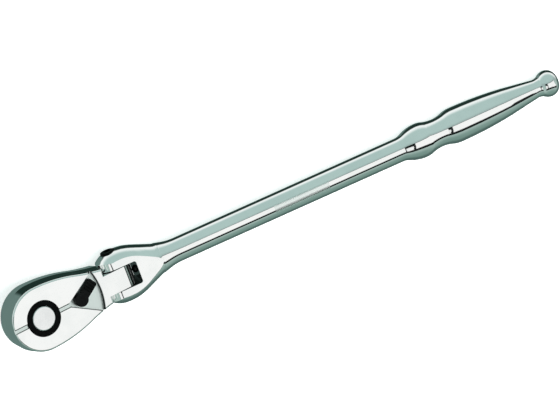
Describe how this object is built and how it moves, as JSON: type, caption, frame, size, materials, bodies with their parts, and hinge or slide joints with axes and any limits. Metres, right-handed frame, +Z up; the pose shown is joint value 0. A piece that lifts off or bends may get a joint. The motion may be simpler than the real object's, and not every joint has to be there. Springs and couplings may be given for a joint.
{
  "type": "flex-head ratchet wrench",
  "caption": "Long-handled flex-head ratchet wrench: pear-shaped reversible ratchet head with square drive and quick-release button, pinned in a fork on a round handle.",
  "frame": {"origin": "centre of the drive's shoulder, where a socket seats", "axes": "+Z up with the tool lying on a table, +X along the table from the drive toward the end knob"},
  "size_m": [0.2843, 0.0318, 0.0298],
  "materials": {
    "chrome_handle": "polished chrome plate",
    "chrome_head": "polished chrome plate",
    "chrome_cover": "polished chrome plate",
    "chrome_button": "satin chrome plate",
    "black_oxide": "black oxide",
    "black_ring": "black oxide",
    "black_lever": "moulded, satin",
    "bare_steel": "ground steel",
    "drive_steel": "satin plated steel",
    "spring_steel": "drawn wire",
    "black_rubber": "matt"
  },
  "bodies": {
    "handle_body": {"handle": "chrome_handle", "flex_screw": "black_oxide", "friction_washers": "bare_steel", "flex_plunger": "bare_steel", "flex_plunger_spring": "spring_steel"},
    "head": {"head_body": "chrome_head", "cover_plate": "chrome_cover", "cover_screws": "black_oxide", "thrust_washer": "bare_steel", "drive_seal": "black_rubber", "pawl_pin": "bare_steel"},
    "drive": {"drive_anvil": "drive_steel", "button_ring": "black_ring", "button_spring": "spring_steel"},
    "button": {"release_button": "chrome_button"},
    "ball": {"detent_ball": "bare_steel"},
    "pawl_body": {"pawl": "drive_steel"},
    "lever": {"reversing_lever": "black_lever", "lever_spindle": "bare_steel", "lever_seal": "black_rubber", "pawl_plunger": "bare_steel", "pawl_plunger_spring": "spring_steel"}
  },
  "joints": [
    {"name": "head_flex", "type": "hinge", "parent": "handle_body", "child": "head", "pos_m": [0.0434, 0, 0.00021], "axis": [0, 1, 0], "range_deg": [-98.6, 81.4]},
    {"name": "drive_spin", "type": "hinge", "parent": "head", "child": "drive", "pos_m": [0, 0, 0], "axis": [0.1739, 0, 0.9848], "continuous": true},
    {"name": "button_press", "type": "slide", "parent": "drive", "child": "button", "axis": [-0.1739, 0, -0.9848], "range_m": [0, 0.0025], "stiffness_N_per_m": 1500, "deforming": ["button_spring"]},
    {"name": "ball_slide", "type": "slide", "parent": "drive", "child": "ball", "axis": [0.9848, 0, -0.1739], "range_m": [0, 0.0006]},
    {"name": "lever_swing", "type": "hinge", "parent": "head", "child": "lever", "pos_m": [0.01989, 0, -0.00351], "axis": [0.1739, 0, 0.9848], "range_deg": [-68, 0]},
    {"name": "pawl_rock", "type": "hinge", "parent": "head", "child": "pawl_body", "pos_m": [0.01339, 0, -0.00236], "axis": [0.1739, 0, 0.9848], "range_deg": [0, 12]}
  ],
  "couplings": [
    {"joint": "ball_slide", "follows": "button_press", "ratio": 0.24},
    {"joint": "pawl_rock", "follows": "lever_swing", "ratio": -0.17647}
  ]
}
